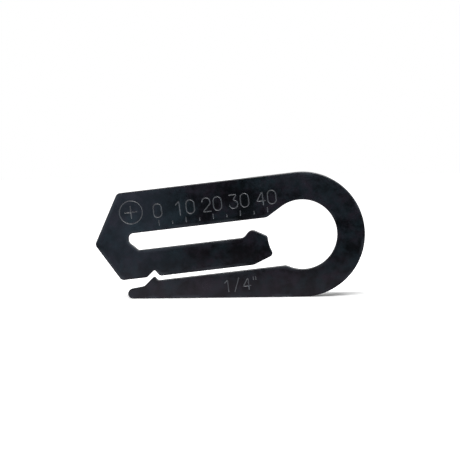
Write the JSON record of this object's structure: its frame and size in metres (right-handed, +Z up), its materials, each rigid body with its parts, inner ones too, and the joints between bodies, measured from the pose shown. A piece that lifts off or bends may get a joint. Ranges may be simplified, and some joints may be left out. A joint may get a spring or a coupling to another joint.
{
  "type": "flat framing jig",
  "caption": "Flat black steel hand jig with a pointed head, a round finger hole, a long slot beside a hooked tongue, and a narrow gate past a notch and nub.",
  "frame": {"origin": "on the surface that the plate stands on, below the centre of its box", "axes": "+X along the lower arm's straight edge, from the pointed head to the round bow; +Y through the plate, from its front face to its back face; +Z up"},
  "size_m": [0.0986, 0.0032, 0.0457],
  "materials": {
    "black_steel": "satin"
  },
  "bodies": {
    "root": {"jig_plate": "black_steel"}
  },
  "joints": []
}
